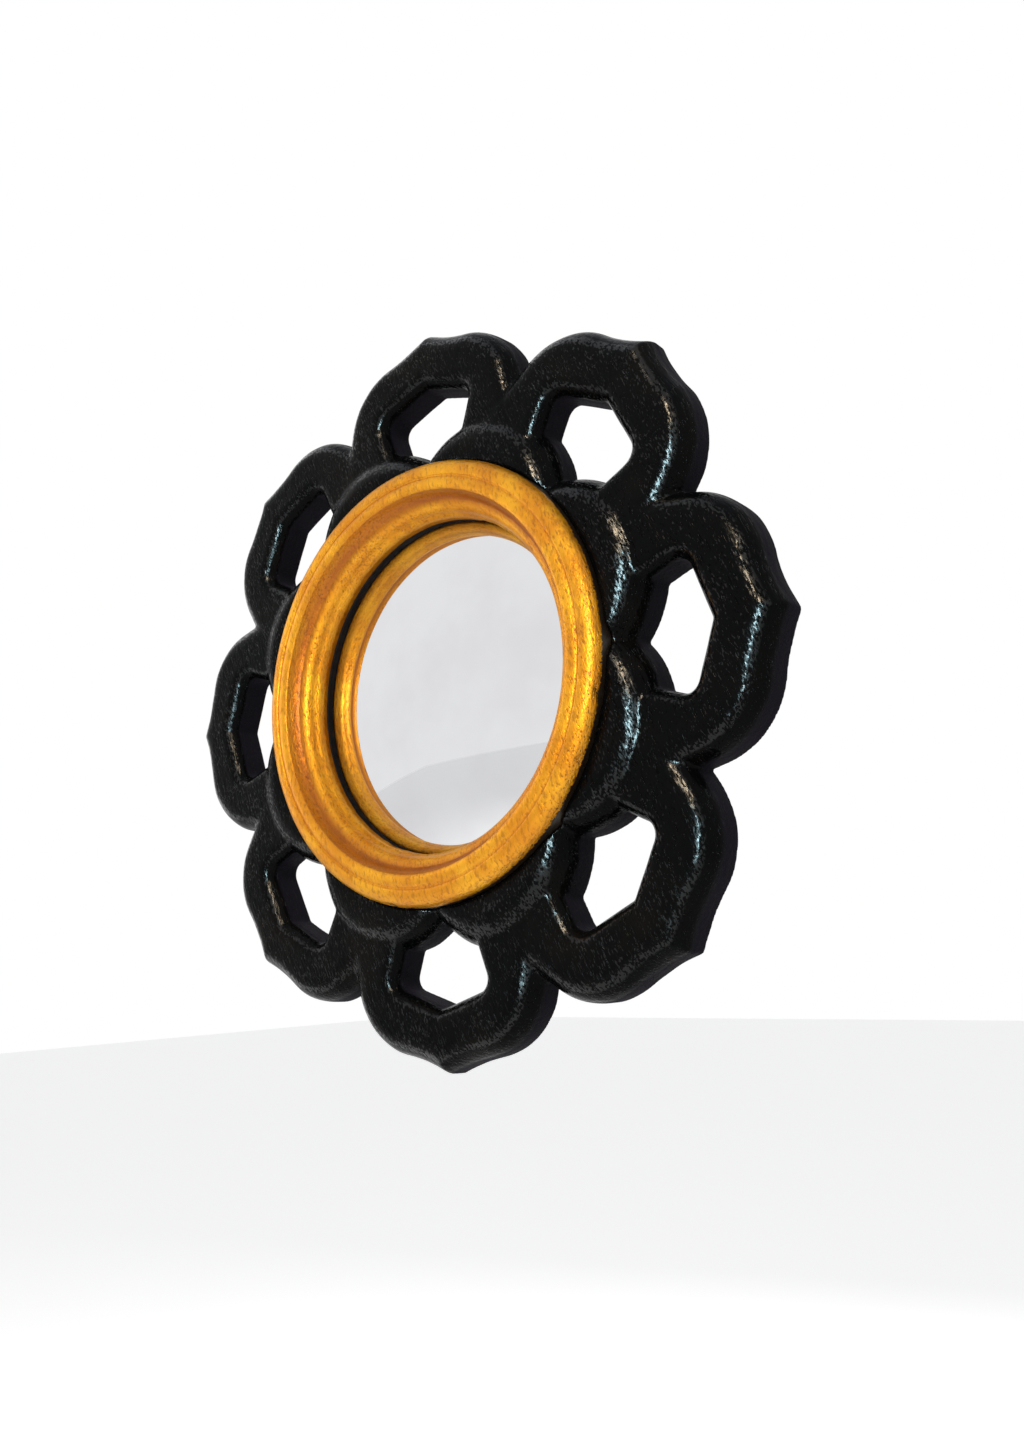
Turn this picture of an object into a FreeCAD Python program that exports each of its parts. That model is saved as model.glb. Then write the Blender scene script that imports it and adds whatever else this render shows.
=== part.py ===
import FreeCAD, Part
import math
import os

# Convex mirror in a carved flower frame.
# Millimetres. +Z is up, +X is the viewer's right and the glass faces -Y.
# The origin lies in the flat back of the frame, on the axis of the glass.
# A height is a distance in front of that back, so it is minus y.

# The whole frame
petal_count = 8
frame_thickness = 18.0
overrun = 4.0

# The petals, whose roundings are shares of their length
petal_length = 46.5
shoulder_share = 0.26
petal_tuck = 16.5
# A pair of shares is a place along the petal's length beyond the lobes, then one across half its sector.
petal_shoulder_shares = (0.835, 0.360)
petal_bulge_shares = (0.645, 0.665)
petal_side_shares = (0.270, 0.935)

# The opening in a petal, in the same shares
hole_point_shares = (0.385, 0.0)
hole_corner_shares = (0.185, 0.495)
# The throat runs out under the lobes, this share of half its sector to each side
hole_throat_share = 0.402
hole_point_round_share = 0.065
hole_corner_round_share = 0.13
hole_rim_share = 0.11

# The lobes between the petals and the ring
lobe_width = 23.5
lobe_valley_width = 6.8
lobe_rise = 3.5
lobe_shoulder_radius = 16.0
ring_groove_width = 7.0
ring_groove_depth = 1.4

# The glass
glass_radius = 76.2
glass_curve_radius = 240.0
glass_thickness = 2.0
glass_side_clearance = 0.8

# The turned ring
ring_width = 22.7
ring_seat_depth = 2.0
ring_crest_rise = 10.0
glass_cover = 3.9
shadow_gap = 1.95
glue_gap = 0.1
spigot_clearance = 0.15
# Its moulding: a share of the ring's width from the outside in, then one of its height from the lip up
ring_moulding_shares = (
    (0.0, 0.667), (0.085, 0.885), (0.330, 0.978), (0.357, 0.939), (0.379, 0.961), (0.511, 1.0), (0.652, 0.967),
    (0.735, 0.700), (0.881, 0.528), (0.943, 0.470), (0.952, 0.367), (0.965, 0.328), (1.0, 0.300),
)

# The gasket between the lip of the ring and the rim of the glass
gasket_recess = 1.7
gasket_side_clearance = 0.2
seat_gap = 0.05

# The hardboard behind the glass and the rebates in the wood
board_thickness = 2.5
board_ledge = 6.6
board_clearance = 0.4
button_recess_depth = 2.3
button_recess_margin = 14.9

# The turn buttons and their screws
button_count = 4
button_pivot_gap = 6.4
button_thickness = 0.8
button_head_radius = 4.5
button_tip_radius = 3.2
button_length = 13.0
button_screw_radius = 1.4
button_screw_length = 8.0
button_screw_head_radius = 2.8
button_screw_head_height = 1.0
running_clearance = 0.08
pilot_clearance = 0.05

# The hanger in its pocket behind the top petal: a strap with a rolled eye, a wire ring and a screw
pocket_depth = 4.0
pocket_width = 13.6
pocket_half_length = 11.2
pocket_corner_radius = 2.5
hanger_axis_height = 2.0
hanger_tip_distance = 18.0
wire_radius = 0.8
hanger_ring_half_width = 4.9
hanger_ring_side = 4.1
eye_radius = 1.8
eye_length = 5.2
strap_width = 9.0
strap_thickness = 1.0
strap_length = 10.2
strap_shoulder = 3.6
strap_end_radius = 3.0
hanger_screw_drop = 4.8
hanger_screw_radius = 1.5
hanger_screw_length = 10.0
hanger_screw_head_radius = 2.7
hanger_screw_head_height = 1.2

# Every screw: its slot and its point as shares of its head and its length
slot_width_share = 0.26
slot_depth_share = 0.55
screw_point_share = 0.35

# Three flats follow a round: how much each takes off the corner, as a share of the round's radius
middle_flat_share = 0.586
side_flat_share = 0.215

# Worked out from the sizes above
sector_half_angle = math.pi / petal_count
bore_radius = glass_radius + glass_side_clearance
sight_radius = glass_radius - glass_cover
ring_radius = sight_radius + ring_width
board_radius = bore_radius + board_ledge
button_recess_radius = board_radius + button_recess_margin
button_pivot_radius = board_radius + button_pivot_gap
lobe_reach = ring_radius + lobe_width
lobe_valley_radius = ring_radius + lobe_valley_width
lobe_centre_radius = (lobe_reach ** 2 - lobe_valley_radius ** 2) / (
    2 * (lobe_reach - lobe_valley_radius * math.cos(sector_half_angle))
)
lobe_height = frame_thickness + lobe_rise
petal_end = lobe_reach - petal_tuck
tip_radius = lobe_reach + petal_length
hanger_axis_place = tip_radius - hanger_tip_distance
hanger_screw_place = hanger_axis_place - hanger_screw_drop
rebate_height = button_recess_depth + board_thickness
ring_seat_height = frame_thickness - ring_seat_depth
ring_crest_height = frame_thickness + ring_crest_rise
button_height = button_recess_depth - seat_gap
glass_back_radius = glass_curve_radius - glass_thickness
glass_centre_height = (
    rebate_height + seat_gap - math.sqrt(glass_back_radius ** 2 - glass_radius ** 2)
)


def glass_front_height(radius):
    """The height of the glass's front face at a distance from its axis."""
    return glass_centre_height + math.sqrt(glass_curve_radius ** 2 - radius ** 2)


lip_height = glass_front_height(sight_radius) + shadow_gap


def point(across, height, up):
    """A point from its place across and up the wall and its height in front of the back."""
    return FreeCAD.Vector(across, -height, up)


axis_origin = point(0, 0, 0)
forward = FreeCAD.Vector(0, -1, 0)


def turned(shape, degrees):
    """A copy of a shape, turned about the axis of the glass."""
    copy = shape.copy()
    copy.rotate(axis_origin, forward, degrees)
    return copy


def line(start, end):
    return Part.LineSegment(start, end).toShape()


def arc(start, middle, end):
    return Part.Arc(start, middle, end).toShape()


def revolved(edges, axis_point=axis_origin):
    """The solid that a closed half section makes when it turns about a line square to the wall."""
    face = Part.Face(Part.Wire(edges))
    return face.revolve(axis_point, forward, 360)


def cylinder(radius, low, high, across=0, up=0):
    """A round bar square to the wall, between two heights."""
    return Part.makeCylinder(radius, high - low, point(across, low, up), forward)


def tangent_arc(start, direction, end):
    """The arc that leaves start along a direction and reaches end, in a plane along the wall."""
    normal = FreeCAD.Vector(direction.z, 0, -direction.x).normalize()
    chord = end - start
    radius = chord.dot(chord) / (2 * chord.dot(normal))
    centre = start + normal * radius
    to_middle = ((start + end) * 0.5 - centre).normalize()
    return arc(start, centre + to_middle * abs(radius), end)


def rounded_corner(before, corner, after, radius):
    """Where the rounding of a corner between two straight runs starts, its arc, and where it ends."""
    first = (before - corner).normalize()
    second = (after - corner).normalize()
    half_angle = first.getAngle(second) / 2
    start = corner + first * (radius / math.tan(half_angle))
    end = corner + second * (radius / math.tan(half_angle))
    to_middle = (first + second).normalize() * (radius / math.sin(half_angle) - radius)
    return start, arc(start, corner + to_middle, end), end


def rounded_outline(corners, radii):
    """A closed wire of straight runs whose corners are rounded; a radius of zero leaves one sharp."""
    runs = []
    for index, corner in enumerate(corners):
        before = corners[index - 1]
        after = corners[(index + 1) % len(corners)]
        if radii[index]:
            runs.append(rounded_corner(before, corner, after, radii[index]))
        else:
            runs.append((corner, None, corner))
    edges = []
    for index, (start, rounding, end) in enumerate(runs):
        if rounding:
            edges.append(rounding)
        edges.append(line(end, runs[(index + 1) % len(runs)][0]))
    return Part.Wire(edges)


def petal_point(shares, side=1):
    """A point on the back of the top petal from its shares along and across, on one side of its middle."""
    along = lobe_reach + shares[0] * petal_length
    return point(side * shares[1] * along * math.tan(sector_half_angle), 0, along)


def lies_at(edge, height):
    """Whether an edge runs level at a height."""
    box = edge.BoundBox
    return abs(box.YMin + height) < seat_gap and abs(box.YMax + height) < seat_gap


def eased(solid, height, radius, chosen):
    """Take the corner off the chosen edges at a height: three flats that follow a round of that radius."""
    middle = radius * middle_flat_share
    corner = [edge for edge in solid.Edges if lies_at(edge, height) and chosen(edge)]
    solid = solid.makeChamfer(middle, corner)
    beside = [
        edge for edge in solid.Edges
        if (lies_at(edge, height) or lies_at(edge, height - middle)) and chosen(edge)
    ]
    return solid.makeChamfer(radius * side_flat_share, beside)


def petal_half():
    """Half a petal: the ogee tip, the bulging side, the end tucked under the lobes and half the opening.

    The shoulder is rounded right along the outline, so the two halves meet in the crease of the tip."""
    tip = petal_point((1, 0))
    shoulder = petal_point(petal_shoulder_shares)
    side = petal_point(petal_side_shares)
    bulge = arc(shoulder, petal_point(petal_bulge_shares), side)
    ogee = tangent_arc(shoulder, bulge.tangentAt(bulge.FirstParameter) * -1, tip)
    down = bulge.tangentAt(bulge.LastParameter)
    tucked_end = point(0, 0, petal_end)
    tucked_corner = side + down * ((tucked_end.z - side.z) / down.z)
    outline = [ogee, bulge, line(side, tucked_corner), line(tucked_corner, tucked_end), line(tucked_end, tip)]
    wire = Part.Wire(Part.sortEdges(outline)[0])
    half = Part.Face(wire).extrude(forward * frame_thickness)

    def on_outline(edge):
        return edge.BoundBox.XMax > seat_gap and edge.BoundBox.ZMax > tucked_end.z + seat_gap

    opening = petal_opening()

    def on_rim(edge):
        return edge.BoundBox.XMax > seat_gap and opening.BoundBox.isInside(edge.BoundBox)

    pierced = eased(half, frame_thickness, petal_length * shoulder_share, on_outline).cut(opening)
    return eased(pierced, frame_thickness, petal_length * hole_rim_share, on_rim)


def petal_opening():
    """The tool that cuts the opening of the top petal straight through."""
    throat = petal_end - overrun
    throat_side = hole_throat_share * throat * math.tan(sector_half_angle)
    corners = [
        petal_point(hole_point_shares),
        petal_point(hole_corner_shares),
        point(throat_side, 0, throat),
        point(-throat_side, 0, throat),
        petal_point(hole_corner_shares, -1),
    ]
    point_radius = petal_length * hole_point_round_share
    corner_radius = petal_length * hole_corner_round_share
    radii = [point_radius, corner_radius, 0, 0, corner_radius]
    shaft = Part.Face(rounded_outline(corners, radii)).extrude(forward * (frame_thickness + 2 * overrun))
    shaft.translate(forward * -overrun)
    return shaft


def petal():
    """The whole top petal: two mirrored halves."""
    half = petal_half()
    return half.fuse(half.mirror(axis_origin, FreeCAD.Vector(1, 0, 0)))


def lobe():
    """A domed lobe between two petals, one half sector round from the top."""
    radius = lobe_reach - lobe_centre_radius
    centre = point(0, 0, lobe_centre_radius)
    block = Part.makeCylinder(radius, lobe_height, centre, forward)
    domed = eased(block, lobe_height, lobe_shoulder_radius, lambda edge: True)
    return turned(domed, math.degrees(sector_half_angle))


def ring_groove():
    """The slope that falls from the lobes to the seam of the ring."""
    seam = lobe_height - ring_groove_depth
    corners = [
        point(ring_radius, seam, 0),
        point(ring_radius + ring_groove_width, lobe_height, 0),
        point(ring_radius + ring_groove_width, lobe_height + overrun, 0),
        point(ring_radius, lobe_height + overrun, 0),
    ]
    return revolved([line(corners[i - 1], corner) for i, corner in enumerate(corners)])


def hanger_pocket():
    """The pocket behind the top petal, open to the back."""
    bottom = hanger_axis_place - pocket_half_length
    top = hanger_axis_place + pocket_half_length
    corners = [
        point(-pocket_width / 2, 0, bottom),
        point(pocket_width / 2, 0, bottom),
        point(pocket_width / 2, 0, top),
        point(-pocket_width / 2, 0, top),
    ]
    outline = rounded_outline(corners, [pocket_corner_radius] * len(corners))
    pocket = Part.Face(outline).extrude(forward * (pocket_depth + overrun))
    pocket.translate(forward * -overrun)
    return pocket


def button_places():
    """The place across and up of each turn button's pivot, and its angle from the top in degrees."""
    places = []
    for index in range(button_count):
        degrees = (2 * index + 1) * 180 / button_count
        angle = math.radians(degrees)
        places.append((button_pivot_radius * math.sin(angle), button_pivot_radius * math.cos(angle), degrees))
    return places


def petal_frame():
    """The carved board: petals and lobes in one, bored and rebated for the ring, the glass and its back."""
    top_petal = petal()
    top_lobe = lobe()
    step = 360 / petal_count
    pieces = [turned(top_petal, index * step) for index in range(petal_count)]
    pieces += [turned(top_lobe, index * step) for index in range(petal_count)]
    board = pieces[0].multiFuse(pieces[1:]).removeSplitter()
    cuts = [
        cylinder(bore_radius, -overrun, lobe_height + overrun),
        cylinder(ring_radius + glue_gap, ring_seat_height, lobe_height + overrun),
        cylinder(board_radius + board_clearance, -overrun, rebate_height),
        cylinder(button_recess_radius, -overrun, button_recess_depth),
        ring_groove(),
        hanger_pocket(),
        cylinder(
            hanger_screw_radius + pilot_clearance, 0, pocket_depth + hanger_screw_length,
            0, hanger_screw_place,
        ),
    ]
    for across, up, _ in button_places():
        cuts.append(
            cylinder(
                button_screw_radius + pilot_clearance, 0, button_recess_depth + button_screw_length,
                across, up,
            )
        )
    return board.cut(cuts)


def moulding_point(shares):
    """A point on the ring's moulding from its shares of the ring's width and height."""
    radius = ring_radius - shares[0] * (ring_radius - sight_radius)
    height = lip_height + shares[1] * (ring_crest_height - lip_height)
    return point(radius, height, 0)


def gilt_ring():
    """The turned ring: bead, quirk, crown, cove, astragal and lip, with a spigot that fits the bore."""
    spigot_radius = bore_radius - spigot_clearance
    corners = [moulding_point(pair) for pair in ring_moulding_shares]
    corners += [
        point(sight_radius, lip_height, 0),
        point(spigot_radius, lip_height, 0),
        point(spigot_radius, ring_seat_height, 0),
        point(ring_radius, ring_seat_height, 0),
    ]
    return revolved([line(corners[i - 1], corner) for i, corner in enumerate(corners)])


def mirror_glass():
    """The domed glass: cut round from a shell between two spheres."""
    centre = point(0, glass_centre_height, 0)
    shell = Part.makeSphere(glass_curve_radius, centre).cut(Part.makeSphere(glass_back_radius, centre))
    return shell.common(cylinder(glass_radius, 0, glass_front_height(0) + overrun))


def glass_gasket():
    """The dark ring that beds the rim of the glass against the lip, set back from the sight edge."""
    inner = sight_radius + gasket_recess
    outer = bore_radius - gasket_side_clearance
    corners = [
        point(inner, glass_front_height(inner) + seat_gap, 0),
        point(outer, glass_front_height(outer) + seat_gap, 0),
        point(outer, lip_height - seat_gap, 0),
        point(inner, lip_height - seat_gap, 0),
    ]
    return revolved([line(corners[i - 1], corner) for i, corner in enumerate(corners)])


def backing_board():
    return cylinder(board_radius, button_recess_depth, rebate_height)


def screw(shank_radius, length, head_radius, head_height):
    """A slotted wood screw at the origin: its point runs forward and its head stands behind."""
    shoulder_height = length * (1 - screw_point_share)
    profile = [
        point(0, -head_height, 0),
        point(head_radius, -head_height, 0),
        point(head_radius, 0, 0),
        point(shank_radius, 0, 0),
        point(shank_radius, shoulder_height, 0),
        point(0, length, 0),
    ]
    slot_width = head_radius * slot_width_share
    slot_depth = head_height * slot_depth_share
    slot = Part.makeBox(2 * (head_radius + overrun), slot_depth + overrun, slot_width)
    slot.translate(point(-head_radius - overrun, -head_height + slot_depth, -slot_width / 2))
    return revolved([line(profile[i - 1], corner) for i, corner in enumerate(profile)]).cut(slot)


def turn_button(across, up, degrees):
    """A flat turn button at its pivot, pointing at the middle of the board that it holds."""
    to_tip = point(0, 0, -button_length)
    spread = math.acos((button_head_radius - button_tip_radius) / button_length)
    side = FreeCAD.Vector(math.sin(spread), 0, -math.cos(spread))
    other = FreeCAD.Vector(-side.x, 0, side.z)
    head_top = point(0, 0, button_head_radius)
    tip_end = to_tip + point(0, 0, -button_tip_radius)
    outline = Part.Wire([
        arc(other * button_head_radius, head_top, side * button_head_radius),
        line(side * button_head_radius, to_tip + side * button_tip_radius),
        arc(to_tip + side * button_tip_radius, tip_end, to_tip + other * button_tip_radius),
        line(to_tip + other * button_tip_radius, other * button_head_radius),
    ])
    plate = Part.Face(outline).extrude(forward * button_thickness)
    plate = plate.cut(cylinder(button_screw_radius + running_clearance, -overrun, button_thickness + overrun))
    plate.rotate(axis_origin, forward, -degrees)
    plate.translate(point(across, button_height - button_thickness, up))
    return plate


def turn_button_screws():
    """The pivots of the turn buttons, as separate solids."""
    screws = []
    for across, up, degrees in button_places():
        piece = screw(
            button_screw_radius, button_screw_length, button_screw_head_radius, button_screw_head_height
        )
        piece.rotate(axis_origin, forward, -degrees)
        piece.translate(point(across, button_height - button_thickness - seat_gap, up))
        screws.append(piece)
    return Part.makeCompound(screws)


def hanger_strap():
    """The strap: a plate that narrows into a rolled eye, with a hole for its screw."""
    low = pocket_depth - strap_thickness
    half = strap_width / 2
    bottom = hanger_axis_place - strap_length
    shoulder = hanger_axis_place - strap_shoulder
    corners = [
        point(-eye_length / 2, low, hanger_axis_place),
        point(-half, low, shoulder),
        point(-half, low, bottom),
        point(half, low, bottom),
        point(half, low, shoulder),
        point(eye_length / 2, low, hanger_axis_place),
    ]
    radii = [0, 0, strap_end_radius, strap_end_radius, 0, 0]
    plate = Part.Face(rounded_outline(corners, radii)).extrude(forward * strap_thickness)
    plate = plate.cut(
        cylinder(hanger_screw_radius + pilot_clearance, 0, pocket_depth + overrun, 0, hanger_screw_place)
    )
    along = FreeCAD.Vector(1, 0, 0)
    end = point(-eye_length / 2, hanger_axis_height, hanger_axis_place)
    eye = Part.makeCylinder(eye_radius, eye_length, end, along)
    bore_start = point(-eye_length / 2 - overrun, hanger_axis_height, hanger_axis_place)
    bore = Part.makeCylinder(wire_radius + running_clearance, eye_length + 2 * overrun, bore_start, along)
    return plate.fuse(eye).cut(bore).removeSplitter()


def hanger_ring():
    """The wire ring, standing up in the pocket: a bar in the eye, two sides and a bent top."""
    half = hanger_ring_half_width
    lift = half * math.cos(math.pi / 4)
    corners = [
        (0, 0),
        (half, 0),
        (half, hanger_ring_side),
        (lift, hanger_ring_side + lift),
        (0, hanger_ring_side + half),
        (-lift, hanger_ring_side + lift),
        (-half, hanger_ring_side),
        (-half, 0),
    ]
    places = [point(across, hanger_axis_height, hanger_axis_place + up) for across, up in corners]
    path = Part.Wire([line(place, places[(i + 1) % len(places)]) for i, place in enumerate(places)])
    section = Part.Wire(Part.makeCircle(wire_radius, places[0], FreeCAD.Vector(1, 0, 0)))
    return path.makePipeShell([section], True, False, 1)


def hanger_screw():
    """The strap's screw, driven through it into the petal."""
    piece = screw(
        hanger_screw_radius, hanger_screw_length, hanger_screw_head_radius, hanger_screw_head_height
    )
    piece.translate(point(0, pocket_depth - strap_thickness - seat_gap, hanger_screw_place))
    return piece


def build_parts():
    """Every piece of the mirror by name."""
    parts = {
        "petal_frame": petal_frame(),
        "gilt_ring": gilt_ring(),
        "glass_gasket": glass_gasket(),
        "mirror_glass": mirror_glass(),
        "backing_board": backing_board(),
        "turn_button_screws": turn_button_screws(),
        "hanger_strap": hanger_strap(),
        "hanger_ring": hanger_ring(),
        "hanger_screw": hanger_screw(),
    }
    for number, place in enumerate(button_places(), start=1):
        parts[f"turn_button_{number}"] = turn_button(*place)
    return parts


os.makedirs("parts", exist_ok=True)
for part_name, part_shape in build_parts().items():
    part_shape.exportStep(f"parts/{part_name}.step")
    print(part_name, "solids", len(part_shape.Solids), "valid", part_shape.isValid())
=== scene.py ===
"""Dresses the convex mirror: a glossy black carved flower frame, a gilt ring, a domed glass and its back."""

import cmath
import logging
import math
from dataclasses import dataclass
from enum import Enum
from typing import Callable, Sequence

import bmesh
import bpy
import numpy as np
from mathutils import Matrix, Vector


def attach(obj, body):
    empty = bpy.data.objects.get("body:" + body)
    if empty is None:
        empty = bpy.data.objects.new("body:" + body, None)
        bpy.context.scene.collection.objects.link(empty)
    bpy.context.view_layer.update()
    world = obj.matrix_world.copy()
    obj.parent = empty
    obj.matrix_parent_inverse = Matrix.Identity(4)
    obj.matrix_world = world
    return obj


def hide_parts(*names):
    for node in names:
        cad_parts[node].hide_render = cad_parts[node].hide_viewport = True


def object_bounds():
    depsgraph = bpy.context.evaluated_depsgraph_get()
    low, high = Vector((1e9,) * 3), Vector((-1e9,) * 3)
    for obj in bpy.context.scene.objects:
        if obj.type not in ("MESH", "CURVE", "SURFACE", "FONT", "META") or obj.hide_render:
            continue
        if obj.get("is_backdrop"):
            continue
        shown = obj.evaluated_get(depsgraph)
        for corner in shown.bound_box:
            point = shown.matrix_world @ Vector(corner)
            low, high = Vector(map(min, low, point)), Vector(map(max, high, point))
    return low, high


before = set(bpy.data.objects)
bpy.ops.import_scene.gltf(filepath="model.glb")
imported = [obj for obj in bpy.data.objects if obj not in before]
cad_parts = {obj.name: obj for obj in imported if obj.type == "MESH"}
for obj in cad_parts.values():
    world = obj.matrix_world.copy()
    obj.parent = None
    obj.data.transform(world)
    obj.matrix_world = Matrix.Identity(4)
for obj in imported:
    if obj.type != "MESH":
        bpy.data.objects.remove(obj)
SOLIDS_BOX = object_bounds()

Array = np.ndarray
Pair = tuple[float, float]
Colour = tuple[float, float, float]
Distance = Callable[[Array, Array, Array], Array]
Piece = bpy.types.Object
Socket = bpy.types.NodeSocket
log = logging.getLogger("convex_mirror")
# How far the grain of the carved board leans from upright, in degrees
GRAIN_LEAN = 24.0
# Edges shorter than this are closed up, in metres
SLIVER = 2e-6


class ShopMetal(Enum):
    """The metals of the fittings on the back, each by its colour."""

    BRASS = (0.50, 0.33, 0.11)
    STEEL = (0.46, 0.46, 0.47)


# Forms cut from distances: below zero inside the material, above zero outside it


def smooth_union(first: Array, second: Array, blend: float) -> Array:
    """Join two forms with a small fillet where they meet.

    Args:
        first: The distance to one form.
        second: The distance to the other.
        blend: How wide the fillet is, in metres.

    Returns:
        The distance to both together.
    """
    share = np.clip(0.5 + 0.5 * (second - first) / blend, 0.0, 1.0)
    return second * (1.0 - share) + first * share - blend * share * (1.0 - share)


def smooth_cut(form: Array, tool: Array, blend: float) -> Array:
    """Take a tool out of a form and ease the edge that it leaves.

    Args:
        form: The distance to the form.
        tool: The distance to the tool, below zero where it cuts.
        blend: How far the edge is eased, in metres.

    Returns:
        The distance to what is left.
    """
    return -smooth_union(-form, tool, blend)


def rounded_corner(side: Array, up: Array, radius: float) -> Array:
    """The distance to a square corner with its edge rounded.

    Args:
        side: How far each place is past the first face, plus the radius.
        up: How far it is past the second face, plus the radius.
        radius: The radius of the edge.

    Returns:
        The distance to the corner.
    """
    outside = np.hypot(np.maximum(side, 0.0), np.maximum(up, 0.0))
    return np.minimum(np.maximum(side, up), 0.0) + outside - radius


def eased_slab(outline: Array, height: Array, top: float, radius: float) -> Array:
    """A slab that stands on the back plane and has no underside, with its upper edge rounded."""
    return rounded_corner(outline + radius, height - top + radius, radius)


def eased_plate(outline: Array, height: Array, low: float, top: float, radius: float) -> Array:
    """A flat plate between two heights, with both its edges rounded."""
    thick = np.abs(height - (low + top) / 2) - (top - low) / 2
    return rounded_corner(outline + radius, thick + radius, radius)


def rounded_box(across: Array, along: Array, half_width: float, half_length: float, radius: float) -> Array:
    """The distance to a rectangle about the origin, with rounded corners."""
    return rounded_corner(np.abs(across) - half_width + radius, np.abs(along) - half_length + radius, radius)


def hand_waver(x: Array, y: Array, z: Array, length: float, seed: int) -> Array:
    """A smooth unevenness of about one in size, as a hand tool leaves it.

    Args:
        x: The places across.
        y: The places in depth.
        z: The places up.
        length: About how far apart the rises are, in metres.
        seed: Which unevenness it is.

    Returns:
        A value from about minus one to one for each point.
    """
    rng = np.random.default_rng(seed)
    total = 0.0
    waves = 7
    for _ in range(waves):
        direction = rng.normal(size=3)
        direction *= 2 * math.pi / (length * np.linalg.norm(direction) * rng.uniform(0.7, 1.5))
        along = x * direction[0] + y * direction[1] + z * direction[2]
        total = total + np.sin(along + rng.uniform(0, 2 * math.pi))
    return total / math.sqrt(waves) * 0.8


def slices(chosen: dict[int, slice]) -> tuple[slice, ...]:
    """A slice for each of three axes: the whole axis unless another is chosen."""
    return tuple(chosen.get(axis, slice(None)) for axis in range(3))


def skin(distance: Distance, low: Sequence[float], high: Sequence[float], step: float) -> tuple[Array, Array]:
    """Wrap a form in a mesh of four-sided faces that lie on it.

    Args:
        distance: The distance to the form at x, y and z.
        low: The lowest corner of the space to search.
        high: The highest corner.
        step: How far apart the mesh's points are, in metres.

    Returns:
        The mesh's points, and its faces as rows of four.
    """
    axes = [np.arange(low[i] - step, high[i] + 2 * step, step) for i in range(3)]
    values = np.empty([len(axis) for axis in axes], np.float32)
    plane_x, plane_z = np.meshgrid(axes[0], axes[2], indexing="ij")
    for row, depth in enumerate(axes[1]):
        values[:, row, :] = distance(plane_x, np.full_like(plane_x, depth), plane_z)
    inside = values < 0
    cells = tuple(len(axis) - 1 for axis in axes)
    totals = np.zeros(cells + (3,), np.float32)
    counts = np.zeros(cells, np.int32)
    crossings = []
    for axis in range(3):
        near, far = slices({axis: slice(0, -1)}), slices({axis: slice(1, None)})
        start, end = values[near], values[far]
        crossed = inside[near] != inside[far]
        share = np.where(crossed, start / np.where(crossed, start - end, 1.0), 0.0)
        first, second = [i for i in range(3) if i != axis]
        place = np.stack(np.indices(start.shape), -1).astype(np.float32)
        place[..., axis] += share
        place *= crossed[..., None]
        target = slices({first: slice(0, cells[first]), second: slice(0, cells[second])})
        for step_one in (0, 1):
            for step_two in (0, 1):
                source = slices({
                    other: slice(move, start.shape[other] - 1 + move)
                    for other, move in ((first, step_one), (second, step_two))
                })
                totals[target] += place[source]
                counts[target] += crossed[source]
        crossings.append((crossed, inside[near], axis, first, second))
    used = counts > 0
    index = np.full(cells, -1, np.int64)
    index[used] = np.arange(used.sum())
    points = totals[used] / counts[used][:, None]
    points = np.array([axis[0] for axis in axes]) + points * step
    faces = []
    for crossed, start_inside, axis, first, second in crossings:
        where = np.argwhere(crossed[slices({first: slice(1, -1), second: slice(1, -1)})])
        if not len(where):
            continue
        where[:, [first, second]] += 1
        flag = start_inside[tuple(where.T)]
        corners = []
        for move_one, move_two in ((1, 1), (0, 1), (0, 0), (1, 0)):
            cell = where.copy()
            cell[:, first] -= move_one
            cell[:, second] -= move_two
            corners.append(index[tuple(cell.T)])
        quad = np.stack(corners, 1)
        turn = flag if axis != 1 else ~flag
        quad[~turn] = quad[~turn][:, ::-1]
        faces.append(quad)
    return settle(distance, points, step), np.concatenate(faces)


def settle(distance: Distance, points: Array, step: float) -> Array:
    """Move points onto the form that they lie near.

    Args:
        distance: The distance to the form.
        points: The points to move.
        step: How far apart they are.

    Returns:
        The moved points.
    """
    reach = step * 0.25
    for _ in range(3):
        slope = np.empty_like(points)
        for axis in range(3):
            shift = np.zeros(3)
            shift[axis] = reach
            slope[:, axis] = distance(*(points + shift).T) - distance(*(points - shift).T)
        slope /= 2 * reach
        size = np.maximum((slope ** 2).sum(1), 0.25)
        move = slope * (distance(*points.T) / size)[:, None]
        length = np.linalg.norm(move, axis=1, keepdims=True)
        points = points - move * np.minimum(1.0, step * 0.6 / np.maximum(length, 1e-12))
    return points


def piece_from(name: str, points: Array, faces: Sequence[Sequence[int]]) -> Piece:
    """Make a smooth-shaded piece from points and faces.

    Args:
        name: The piece's name.
        points: Its points in metres.
        faces: Its faces as rows of point numbers.

    Returns:
        The new object.
    """
    mesh = bpy.data.meshes.new(name)
    rows = faces.tolist() if isinstance(faces, np.ndarray) else faces
    mesh.from_pydata([tuple(p) for p in np.asarray(points, float).tolist()], [], rows)
    cleaned = bmesh.new()
    cleaned.from_mesh(mesh)
    bmesh.ops.dissolve_degenerate(cleaned, dist=SLIVER, edges=cleaned.edges)
    cleaned.to_mesh(mesh)
    cleaned.free()
    mesh.update()
    mesh.shade_smooth()
    piece = bpy.data.objects.new(name, mesh)
    bpy.context.scene.collection.objects.link(piece)
    return piece


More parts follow.
